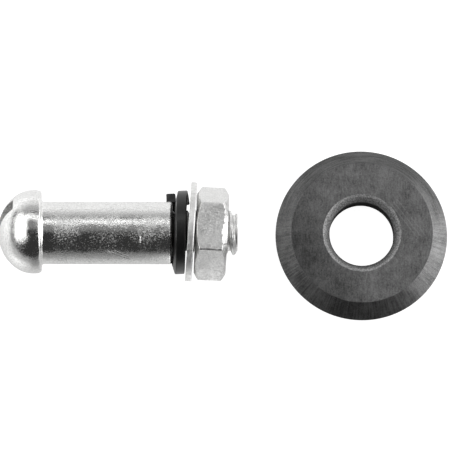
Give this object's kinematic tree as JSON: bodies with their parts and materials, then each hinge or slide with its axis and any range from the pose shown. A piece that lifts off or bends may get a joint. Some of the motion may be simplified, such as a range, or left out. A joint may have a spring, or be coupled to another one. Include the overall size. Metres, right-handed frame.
{
  "type": "tile cutter wheel",
  "caption": "Bevelled carbide cutting wheel for a manual tile cutter, lying beside its domed, slotted axle pin with spring washer, flat washer and hex nut.",
  "frame": {"origin": "centre of the wheel's bore at mid thickness", "axes": "+Z along the wheel's bore, upwards as it lies; +X from the axle set towards the wheel"},
  "size_m": [0.0418, 0.016, 0.0092],
  "materials": {
    "carbide": "ground, dark grey, fine grinding lines",
    "zinc_steel": "bright zinc plate, tumbled and lightly scratched",
    "black_steel": "black oxide"
  },
  "bodies": {
    "wheel_and_pin": {"cutting_wheel": "carbide", "axle_pin": "zinc_steel", "spring_washer": "black_steel"},
    "loose_washer": {"flat_washer": "zinc_steel"},
    "nut": {"hex_nut": "zinc_steel"}
  },
  "joints": [
    {"name": "nut_advance", "type": "slide", "parent": "wheel_and_pin", "child": "loose_washer", "axis": [0.9991, -0.0096, 0.0425], "range_m": [0, 0.00357]},
    {"name": "nut_turn", "type": "hinge", "parent": "loose_washer", "child": "nut", "pos_m": [-0.01407, -0.00043, 0.00308], "axis": [0.9985, -0.0523, 0.0163], "range_deg": [0, 1620]}
  ],
  "couplings": [
    {"joint": "nut_turn", "follows": "nut_advance", "rad_per_m": 7913.3}
  ]
}
